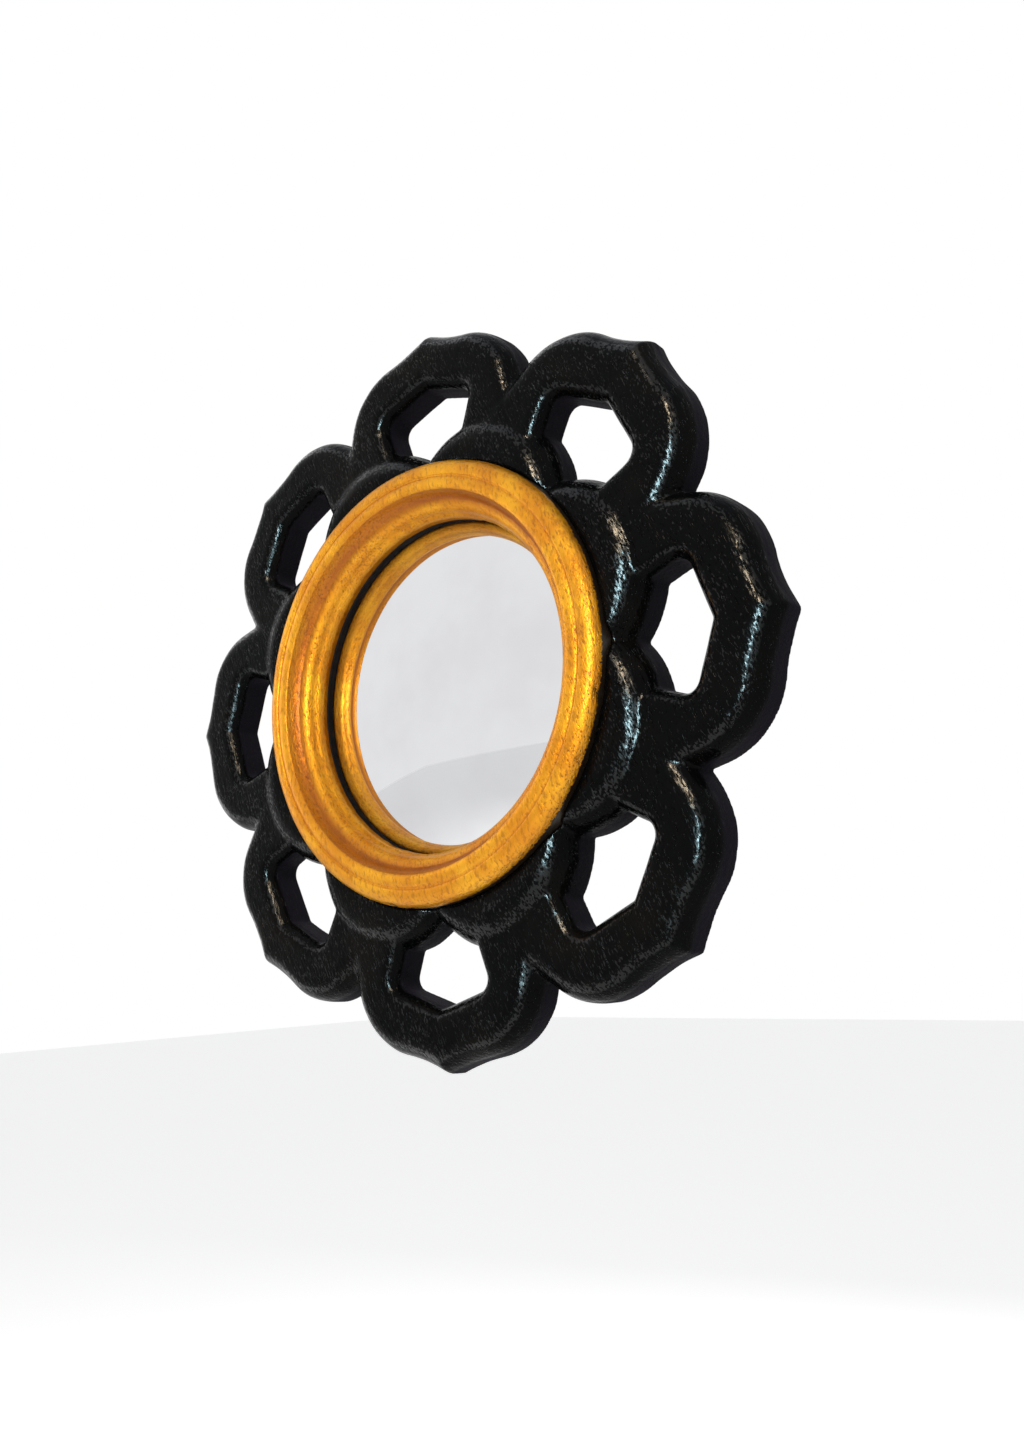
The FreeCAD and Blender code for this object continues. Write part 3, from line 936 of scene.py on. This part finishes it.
@dataclass
class GiltRing:
    """The turned ring: bead, quirk, crown, cove, ovolo and lip."""

    outer_radius: float = 0.095
    sight_radius: float = 0.0723
    crest_height: float = 0.028
    seat_height: float = 0.016
    spigot_radius: float = 0.07685
    lip_height: float = 0.01018
    segments: int = 384
    # The arcs of the front, each by three places in shares of the width and height, and its steps
    arcs: tuple[tuple[Pair, Pair, Pair, int], ...] = (
        ((0.0, 0.667), (0.085, 0.885), (0.330, 0.978), 14),
        ((0.330, 0.978), (0.362, 0.950), (0.379, 0.961), 6),
        ((0.379, 0.961), (0.495, 1.0), (0.610, 0.962), 14),
        ((0.610, 0.962), (0.660, 0.790), (0.750, 0.655), 12),
        ((0.750, 0.655), (0.862, 0.600), (0.945, 0.425), 12),
    )
    lip_shares: tuple[Pair, ...] = ((0.965, 0.328), (1.0, 0.300), (1.0, 0.0))
    rise_shares: Pair = (0.0, 0.640)
    # The nicks of the outer edge and of the lip: how long, which, from what level on and how deep
    edge_nicks: tuple[float, int, float, float] = (0.009, 5, 0.75, 0.0009)
    lip_nicks: tuple[float, int, float, float] = (0.0065, 33, 0.55, 0.00055)
    # The unevenness of both edges and of the front: how long and which, and then how deep
    edge_waver: tuple[float, int] = (0.012, 21)
    front_waver: tuple[float, int] = (0.018, 9)
    edge_unevenness: float = 0.00008
    lip_unevenness: float = 0.00007
    front_unevenness: float = 0.00006
    # Where the front starts above the seat, and the edge, front and lip in shares of the width
    front_start: float = 0.0005
    edge_share: float = 0.06
    front_share: float = 0.95
    lip_share: float = 0.955
    # The paint's wear: its share of the width, its strength near the crest, where even and nicked
    worn_share: float = 0.10
    crest_drop: float = 0.003
    crest_wear: float = 0.4
    even_wear: float = 0.45
    nick_wear: float = 0.6
    rim_share: float = 0.004
    rim_wear: float = 0.5
    # The painted shade in brown along the cove and along the quirk: its place, reach and strength
    cove_shade_brown: tuple[float, float, float] = (0.71, 0.15, 1.15)
    quirk_shade_brown: tuple[float, float, float] = (0.362, 0.03, 0.25)

    def place(self, shares: Pair) -> Pair:
        """A place on the half section from its shares of the ring's width and height."""
        return (
            self.outer_radius - shares[0] * (self.outer_radius - self.sight_radius),
            self.lip_height + shares[1] * (self.crest_height - self.lip_height),
        )

    def profile(self) -> Array:
        """The half section, from the outer edge over the front and round the back.

        Returns:
            Rows of radius and height.
        """
        runs = [arc_points(*map(self.place, arc[:3]), arc[3]) for arc in self.arcs]
        runs.append(np.array([self.place(shares) for shares in self.lip_shares]))
        runs.append(np.array([
            (self.spigot_radius, self.lip_height), (self.spigot_radius, self.seat_height),
            (self.outer_radius, self.seat_height),
        ]))
        runs.append(np.linspace((self.outer_radius, self.seat_height + 0.001), self.place(self.rise_shares), 4))
        section = np.concatenate(runs)
        section[:, 1] = np.minimum(section[:, 1], self.crest_height)
        return section

    def wear(self, points: Array, width: Array, front: Array) -> Array:
        """Nick the outer edge and the lip and make the front uneven, in the points themselves.

        Args:
            points: The ring's points as rows.
            width: How far in each one lies, as a share of the ring's width.
            front: Which of them are on the front.

        Returns:
            How deep the outer edge is nicked at each point.
        """
        radius = np.hypot(points[:, 0], points[:, 2])[:, None]
        uneven = 1 + hand_waver(*points.T, *self.edge_waver)
        length, seed, level, depth = self.edge_nicks
        nick = np.clip(hand_waver(*points.T, length, seed) - level, 0, 1)
        inward = np.where(front & (width < self.edge_share), depth * nick + self.edge_unevenness * uneven, 0)
        points[:, [0, 2]] *= 1 - inward[:, None] / radius
        dip = self.front_unevenness * np.maximum(1 + hand_waver(*points.T, *self.front_waver), 0)
        points[:, 1] += np.where(front & (width < self.front_share), dip, 0)
        length, seed, level, depth = self.lip_nicks
        lip_nick = np.clip(hand_waver(*points.T, length, seed) - level, 0, 1)
        outward = np.where(width > self.lip_share, depth * lip_nick + self.lip_unevenness * uneven, 0)
        points[:, [0, 2]] *= 1 + outward[:, None] / radius
        return nick

    def build(self) -> list[Piece]:
        """Make the ring, wear it, mark where it is chipped and where the cove and quirk get painted shade, and
        dress it.

        Returns:
            The ring alone.
        """
        piece = turned_piece("gilt_moulding", self.profile(), self.segments)
        mesh = piece.data
        flat = np.empty(len(mesh.vertices) * 3)
        mesh.vertices.foreach_get("co", flat)
        points = flat.reshape(-1, 3)
        height = -points[:, 1]
        inside = self.outer_radius - np.hypot(points[:, 0], points[:, 2])
        width = inside / (self.outer_radius - self.sight_radius)
        nick = self.wear(points, width, height > self.seat_height + self.front_start)
        mesh.vertices.foreach_set("co", flat)
        mesh.update()
        low = np.where(height < self.crest_height - self.crest_drop, 1.0, self.crest_wear)
        edge = np.clip(1.0 - width / self.worn_share, 0.0, 1.0) * low * (self.even_wear + self.nick_wear * nick)
        edge += self.rim_wear * (width < self.rim_share)
        # The cove mark places the painted shade in brown along the cove and the quirk
        cove = 0.0
        for middle, reach, strength in (self.cove_shade_brown, self.quirk_shade_brown):
            cove = cove + np.clip(strength * (1 - np.abs(width - middle) / reach), 0, min(strength, 1))
        for name, values in (("edge", edge * (height > self.seat_height)), ("cove", cove)):
            mark = mesh.attributes.new(name, "FLOAT", "POINT")
            mark.data.foreach_set("value", np.clip(values, 0, 1).astype(np.float32))
        mesh.materials.append(GoldLeafPaint().material())
        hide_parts("gilt_ring")
        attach(piece, "frame")
        return [piece]


@dataclass
class DomedGlass:
    """The convex glass, as a smooth shell with its edge eased."""

    radius: float = 0.0762
    curve: float = 0.240
    thickness: float = 0.002
    seat_height: float = 0.00485
    middle_radius: float = 0.0002
    edge_ease: float = 0.0003
    edge_band: float = 0.001
    segments: int = 192
    rows: int = 72

    def front_height(self, radius: Array | float) -> Array | float:
        """The height of the front face at a distance from the axis."""
        return self.centre_height() + np.sqrt(self.curve ** 2 - np.square(radius))

    def centre_height(self) -> float:
        """The height of the centre that both faces are struck from."""
        back = self.curve - self.thickness
        return self.seat_height - math.sqrt(back ** 2 - self.radius ** 2)

    def profile(self) -> Array:
        """The half section from the middle of the back round to the middle of the front.

        Returns:
            Rows of radius and height.
        """
        out = np.linspace(self.middle_radius, self.radius - self.edge_ease, self.rows)
        front = np.stack([out, self.front_height(out)], 1)
        inward = out[::-1] + np.where(out[::-1] > self.radius - self.edge_band, self.edge_ease, 0.0)
        back_curve = self.curve - self.thickness
        back = np.stack([inward, self.centre_height() + np.sqrt(back_curve ** 2 - inward ** 2)], 1)
        edge = np.array([[self.radius, float(self.front_height(self.radius)) - self.edge_ease]])
        return np.concatenate([front, edge, back])[::-1]

    def build(self) -> list[Piece]:
        """Make the glass and dress it.

        Returns:
            The glass alone.
        """
        piece = turned_piece("domed_glass", self.profile(), self.segments, closed=False)
        piece.data.materials.append(Silvering().material())
        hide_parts("mirror_glass")
        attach(piece, "frame")
        return [piece]


@dataclass
class GlassBed:
    """The felt ring between the lip and the glass; its near-black also paints the shade of the gap there."""

    node: str = "glass_gasket"

    def build(self) -> list[Piece]:
        """Dress the ring's solid, so there is no new piece."""
        dress(self.node, FeltWithGapShade().material())
        return []


@dataclass
class BackBoard:
    """The hardboard disc behind the glass."""

    node: str = "backing_board"

    def build(self) -> list[Piece]:
        """Dress the board's solid, so there is no new piece."""
        dress(self.node, Hardboard().material())
        return []


@dataclass(frozen=True)
class ScrewForm:
    """A domed and slotted screw head with a stub of its shank, about the place where the head sits."""

    radius: float
    height: float
    rim: float = 0.00012
    slot_half_width_share: float = 0.13
    slot_floor_share: float = 0.45
    slot_ease: float = 0.00008
    shank_radius: float = 0.0014
    shank_middle: float = 0.0014
    shank_half_length: float = 0.0016
    neck: float = 0.0001

    def distance(self, off_slot: Array, off_axis: Array, depth: Array) -> Array:
        """The distance to the screw.

        Args:
            off_slot: How far each place is from the middle of the slot.
            off_axis: How far it is from the axis of the screw.
            depth: How deep it is under the seat of the head.

        Returns:
            The distance, below zero in the metal.
        """
        ball = (self.radius ** 2 + self.height ** 2) / (2 * self.height)
        dome = np.sqrt(off_axis ** 2 + (depth - ball + self.height) ** 2) - ball
        head = np.maximum(np.maximum(dome, depth), off_axis - self.radius + self.rim)
        slot_side = off_slot - self.radius * self.slot_half_width_share
        slot_floor = depth + self.height * self.slot_floor_share
        head = smooth_cut(head, np.maximum(slot_side, slot_floor), self.slot_ease)
        end = np.abs(depth - self.shank_middle) - self.shank_half_length
        return smooth_union(head, np.maximum(off_axis - self.shank_radius, end), self.neck)


@dataclass
class TurnButtons:
    """Four flat brass buttons, each on its screw."""

    pivot_radius: float = 0.090
    count: int = 4
    height: float = 0.00225
    thickness: float = 0.0008
    edge_round: float = 0.00022
    head_radius: float = 0.0045
    tip_radius: float = 0.0032
    length: float = 0.013
    bore: float = 0.00148
    screw_form: ScrewForm = ScrewForm(0.0028, 0.0010)
    screw_length: float = 0.0032
    screw_sink: float = 0.00005
    # How far the first screw's slot is turned, and each next one more, in degrees
    slot_turns: Pair = (25, 40)
    step: float = 0.00016
    screw_step_share: float = 0.8

    def button(self, x: Array, y: Array, z: Array) -> Array:
        """The distance to a button that points down from the origin.

        Args:
            x: The places across.
            y: The places in depth.
            z: The places up.

        Returns:
            The distance, below zero in the brass.
        """
        lean = (self.head_radius - self.tip_radius) / self.length
        side = math.sqrt(1 - lean ** 2)
        across, down = np.abs(x), -z
        run = across * -lean + down * side
        flank = across * side + down * lean - self.head_radius
        head_end = np.hypot(across, down) - self.head_radius
        tip_end = np.hypot(across, down - self.length) - self.tip_radius
        plate = np.where((run >= 0) & (run <= self.length * side), flank, np.where(run < 0, head_end, tip_end))
        outline = np.maximum(plate, self.bore - np.hypot(x, z))
        return eased_plate(outline, -y, 0.0, self.thickness, self.edge_round)

    def screw(self, x: Array, y: Array, z: Array) -> Array:
        """The distance to a screw about the origin."""
        return self.screw_form.distance(np.abs(z), np.hypot(x, z), -y)

    def build(self) -> list[Piece]:
        """Make the buttons and their screws and dress them.

        Returns:
            The buttons, then the screws.
        """
        brass, steel = FittingMetal(ShopMetal.BRASS).material(), FittingMetal(ShopMetal.STEEL).material()
        low = (-self.head_radius, -self.thickness, -self.length - self.tip_radius)
        plate = skin(self.button, low, (self.head_radius, 0.0, self.head_radius), self.step)
        head = self.screw_form.radius
        high = (head, self.screw_form.height, head)
        screw = skin(self.screw, (-head, -self.screw_length, -head), high, self.step * self.screw_step_share)
        back = self.height - self.thickness
        buttons, screws = [], []
        for index in range(self.count):
            angle = math.radians((2 * index + 1) * 180 / self.count)
            middle = Vector((self.pivot_radius * math.sin(angle), 0.0, self.pivot_radius * math.cos(angle)))
            button = piece_from(f"brass_button_{index + 1}", *plate)
            place = Matrix.Translation(middle + Vector((0.0, -back, 0.0)))
            button.data.transform(place @ Matrix.Rotation(angle, 4, "Y"))
            button.data.materials.append(brass)
            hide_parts(f"turn_button_{index + 1}")
            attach(button, f"button_{index + 1}")
            buttons.append(button)
            driven = piece_from(f"button_screw_{index + 1}", *screw)
            place = Matrix.Translation(middle + Vector((0.0, -(back - self.screw_sink), 0.0)))
            slot_turn = math.radians(self.slot_turns[0] + self.slot_turns[1] * index)
            driven.data.transform(place @ Matrix.Rotation(angle + slot_turn, 4, "Y"))
            driven.data.materials.append(steel)
            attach(driven, "frame")
            screws.append(driven)
        for driven in screws:
            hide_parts("turn_button_screws")
        return buttons + screws


@dataclass
class Hanger:
    """The strap with its rolled eye, the wire ring in it and the screw that holds it."""

    axis_height: float = 0.002
    axis_place: float = 0.147
    wire: float = 0.0008
    wire_play: float = 0.00008
    half_width: float = 0.0049
    side: float = 0.0041
    bend: float = 0.0016
    ring_depths: Pair = (-0.003, -0.001)
    eye_radius: float = 0.0018
    eye_length: float = 0.0052
    eye_blend: float = 0.0005
    strap_low: float = 0.003
    strap_top: float = 0.004
    strap_length: float = 0.0102
    strap_half_width: float = 0.0045
    strap_corner: float = 0.003
    strap_round: float = 0.0003
    shoulder_lean: Pair = (0.90, 0.44)
    shoulder_ease: float = 0.0012
    hole_radius: float = 0.00155
    screw_place: float = 0.1422
    screw_form: ScrewForm = ScrewForm(0.0027, 0.0012)
    screw_sink: float = 0.00005
    screw_reach: float = 0.003
    screw_depth: float = 0.006
    slot_lean: Pair = (0.82, 0.57)
    step: float = 0.00014

    def strap(self, x: Array, y: Array, z: Array) -> Array:
        """The distance to the strap.

        Args:
            x: The places across.
            y: The places in depth.
            z: The places up.

        Returns:
            The distance, below zero in the brass.
        """
        height = -y
        up = z - self.axis_place
        half_length = self.strap_length / 2
        outline = rounded_box(x, up + half_length, self.strap_half_width, half_length, self.strap_corner)
        level, steep = self.shoulder_lean
        shoulder = np.abs(x) * level + up * steep - self.eye_length / 2 * level
        outline = smooth_cut(outline, -shoulder, self.shoulder_ease)
        outline = np.maximum(outline, self.hole_radius - np.hypot(x, z - self.screw_place))
        plate = eased_plate(outline, height, self.strap_low, self.strap_top, self.strap_round)
        reach = np.hypot(height - self.axis_height, up)
        eye = np.maximum(reach - self.eye_radius, np.abs(x) - self.eye_length / 2)
        return np.maximum(smooth_union(plate, eye, self.eye_blend), self.wire + self.wire_play - reach)

    def screw(self, x: Array, y: Array, z: Array) -> Array:
        """The distance to the strap's screw, in its place.

        Args:
            x: The places across.
            y: The places in depth.
            z: The places up.

        Returns:
            The distance, below zero in the steel.
        """
        up = z - self.screw_place
        off_slot = np.abs(x * self.slot_lean[0] + up * self.slot_lean[1])
        return self.screw_form.distance(off_slot, np.hypot(x, up), -y - self.strap_low + self.screw_sink)

    def ring(self, x: Array, y: Array, z: Array) -> Array:
        """The distance to the wire ring: a straight bar, two sides and a round top.

        Args:
            x: The places across.
            y: The places in depth.
            z: The places up.

        Returns:
            The distance, below zero in the wire.
        """
        up = z - self.axis_place
        half_side = self.side / 2
        box = rounded_box(x, up - half_side, self.half_width, half_side, self.bend)
        top = np.hypot(x, up - self.side) - self.half_width
        outline = np.where(up > self.side, top, np.where(up > half_side, np.abs(x) - self.half_width, box))
        outline = np.where((up <= half_side) & (box > 0), box, outline)
        return np.hypot(outline, -y - self.axis_height) - self.wire

    def build(self) -> list[Piece]:
        """Make the strap, its screw and the ring, and dress them.

        Returns:
            The strap, the screw and the ring.
        """
        steel = FittingMetal(ShopMetal.STEEL).material()
        brass = FittingMetal(ShopMetal.BRASS).material()
        half, reach, width = self.strap_half_width, self.screw_reach, self.half_width + self.wire
        low = self.axis_place - self.strap_length
        top = self.axis_place + self.side + self.half_width + self.wire
        strap_box = (-half, -self.strap_top, low), (half, 0.0, self.axis_place + self.eye_radius)
        screw_box = (-reach, -self.screw_depth, self.screw_place - reach), (reach, 0.0, self.screw_place + reach)
        ring_box = (-width, self.ring_depths[0], self.axis_place - self.wire), (width, self.ring_depths[1], top)
        pieces = []
        for name, node, body, slot, form, box, metal in (
            ("hanging_strap", "hanger_strap", "frame", "brass", self.strap, strap_box, brass),
            ("strap_screw", "hanger_screw", "frame", "steel", self.screw, screw_box, steel),
            ("hanging_ring", "hanger_ring", "ring", "steel", self.ring, ring_box, steel),
        ):
            piece = piece_from(name, *skin(form, *box, self.step))
            piece.data.materials.append(metal)
            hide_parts(node)
            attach(piece, body)
            pieces.append(piece)
        return pieces


def dress(node: str, material: bpy.types.Material) -> None:
    """Give a solid a finish.

    Args:
        node: The name of the solid.
        material: The finish.
    """
    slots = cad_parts[node].data.materials
    slots.clear()
    slots.append(material)


# The studio


@dataclass(frozen=True)
class SoftLamp:
    """A soft lamp that faces the mirror and gives either the gloss its gleam or the light."""

    name: str
    place: tuple[float, float, float]
    size: Pair
    power: float
    colour: Colour
    gleam: bool

    def build(self) -> None:
        """Set up the lamp."""
        light = bpy.data.lights.new(self.name, "AREA")
        light.shape = "RECTANGLE"
        light.size, light.size_y = self.size
        light.energy = self.power
        light.color = self.colour
        holder = bpy.data.objects.new(self.name, light)
        holder.location = self.place
        holder.rotation_euler = (-Vector(self.place)).to_track_quat("-Z", "Y").to_euler()
        holder.visible_diffuse = not self.gleam
        holder.visible_glossy = self.gleam
        bpy.context.scene.collection.objects.link(holder)


@dataclass
class Studio:
    """A pale floor, a white surround and soft lamps."""

    floor_height: float = -0.75
    floor_size: float = 9.0
    floor_rows: int = 24
    floor_lift: float = 0.58
    floor_colours: tuple[Colour, Colour] = ((0.90, 0.90, 0.90), (0.93, 0.93, 0.925))
    surround_light: float = 0.30
    # How high the surround starts to dim, and its colour overhead
    dim_start: float = 0.66
    overhead: Colour = (0.66, 0.69, 0.74)
    lamps: tuple[SoftLamp, ...] = (
        SoftLamp("cool_strip_lamp", (0.52, -1.40, 0.06), (0.12, 0.85), 44.0, (0.60, 0.91, 1.0), True),
        SoftLamp("warm_top_lamp", (0.46, -1.22, 0.88), (0.12, 0.50), 18.0, (1.0, 0.80, 0.55), True),
        SoftLamp("soft_gleam_lamp", (0.86, -1.22, 0.25), (0.3, 0.9), 15.0, (1.0, 0.90, 0.52), True),
        SoftLamp("left_gleam_lamp", (-1.40, -0.45, 0.30), (0.7, 0.8), 2.5, (1.0, 0.93, 0.62), True),
        SoftLamp("soft_front_lamp", (0.10, -1.50, 1.00), (1.2, 1.2), 24.0, (1.0, 0.99, 0.97), False),
        SoftLamp("soft_back_lamp", (-0.45, 1.40, 0.60), (0.9, 0.9), 14.0, (1.0, 0.99, 0.97), False),
    )

    def floor(self) -> None:
        """Lay the floor."""
        count = self.floor_rows
        across, along = np.meshgrid(np.linspace(-1, 1, count), np.linspace(-1, 1, count), indexing="ij")
        points = np.stack([across, along, np.zeros_like(across)], -1).reshape(-1, 3) * self.floor_size
        points[:, 2] = self.floor_height
        row, column = np.meshgrid(np.arange(count - 1), np.arange(count - 1), indexing="ij")
        first = row * count + column
        faces = np.stack([first, first + count, first + count + 1, first + 1], -1).reshape(-1, 4)
        piece = piece_from("studio_floor", points, faces)
        sheet = Sheet("pale_floor")
        sheet.join(sheet.blend(sheet.noise(3.0, 4.0, 0.5), *self.floor_colours), "Base Color")
        sheet.set(Roughness=0.85, Emission_Color=(1.0, 1.0, 1.0))
        sheet.join(sheet.seen_level(0.0, self.floor_lift), "Emission Strength")
        piece.data.materials.append(sheet.material)
        piece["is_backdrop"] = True

    def surround(self) -> None:
        """Make the surround white where it is seen, and dimmer where it lights."""
        world = bpy.data.worlds.new("studio")
        bpy.context.scene.world = world
        world.use_nodes = True
        tree = Tree(world.node_tree)
        back = tree.nodes["Background"].inputs
        place = tree.node("TexCoord", {}).outputs["Generated"]
        up = tree.node("SeparateXYZ", {0: place}).outputs["Z"]
        fall = {"Value": up, "From Min": self.dim_start}
        dim = tree.node("MapRange", fall, interpolation_type="SMOOTHSTEP").outputs["Result"]
        ends = {0: dim, 6: (1.0, 1.0, 1.0, 1.0), 7: (*self.overhead, 1.0)}
        tree.links.new(tree.node("Mix", ends, data_type="RGBA").outputs[2], back["Color"])
        tree.links.new(tree.seen_level(self.surround_light, 1.0), back["Strength"])

    def aim(self, names: Sequence[str], pieces: Sequence[Piece]) -> None:
        """Let some lamps act on some pieces alone.

        Args:
            names: The names of the lamps.
            pieces: The pieces that they act on.
        """
        group = bpy.data.collections.new(f"{names[0]}_aim")
        for piece in pieces:
            group.objects.link(piece)
        for name in names:
            bpy.data.objects[name].light_linking.receiver_collection = group

    def build(self) -> None:
        """Set up the whole studio."""
        self.floor()
        self.surround()
        for lamp in self.lamps:
            lamp.build()


@dataclass
class PhotoCamera:
    """The camera, to the right of the mirror and below it, looking up."""

    place: tuple[float, float, float] = (0.34039, -0.37113, -0.11383)
    yaw: float = -39.78
    pitch: float = 10.93
    roll: float = -2.12
    lens: float = 29.41
    sensor: float = 36.0

    def build(self) -> None:
        """Set up the camera and make it the scene's own."""
        yaw, pitch, roll = (math.radians(v) for v in (self.yaw, self.pitch, self.roll))
        ahead = Vector((math.sin(yaw) * math.cos(pitch), math.cos(yaw) * math.cos(pitch), math.sin(pitch)))
        level = Vector((math.cos(yaw), -math.sin(yaw), 0.0))
        plumb = level.cross(ahead)
        right = math.cos(roll) * level + math.sin(roll) * plumb
        above = -math.sin(roll) * level + math.cos(roll) * plumb
        data = bpy.data.cameras.new("photo_camera")
        data.lens = self.lens
        data.sensor_width = self.sensor
        data.clip_start = 0.01
        camera = bpy.data.objects.new("photo_camera", data)
        turn = Matrix((right, above, -ahead)).transposed().to_4x4()
        camera.matrix_world = Matrix.Translation(self.place) @ turn
        bpy.context.scene.collection.objects.link(camera)
        bpy.context.scene.camera = camera


def keep_sizes() -> None:
    """Work out the box of the solids and the box of the dressed mirror side by side; nothing more is done with
    them.
    """
    boxes = [[list(corner) for corner in box] for box in (SOLIDS_BOX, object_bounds())]


def dress_mirror() -> None:
    """Build the camera, the studio and every sub-assembly in order, and say so."""
    logging.basicConfig(level=logging.INFO, format="%(name)s: %(message)s")
    bpy.context.scene.view_settings.view_transform = "Standard"
    PhotoCamera().build()
    studio = Studio()
    studio.build()
    pieces = []
    for assembly in (CarvedFrame(), GiltRing(), DomedGlass(), GlassBed(), BackBoard(), TurnButtons(), Hanger()):
        made = assembly.build()
        log.info("%s is dressed", type(assembly).__name__)
        for piece in made:
            log.info("%s has %d faces", piece.name, len(piece.data.polygons))
        pieces += made
    board = [piece for piece in pieces if piece.name == "carved_frame"]
    metal = [piece for piece in pieces if piece.name not in ("carved_frame", "domed_glass")]
    studio.aim(("cool_strip_lamp", "warm_top_lamp"), board)
    studio.aim(("soft_gleam_lamp", "left_gleam_lamp"), metal)
    keep_sizes()


if __name__ == "__main__":
    dress_mirror()
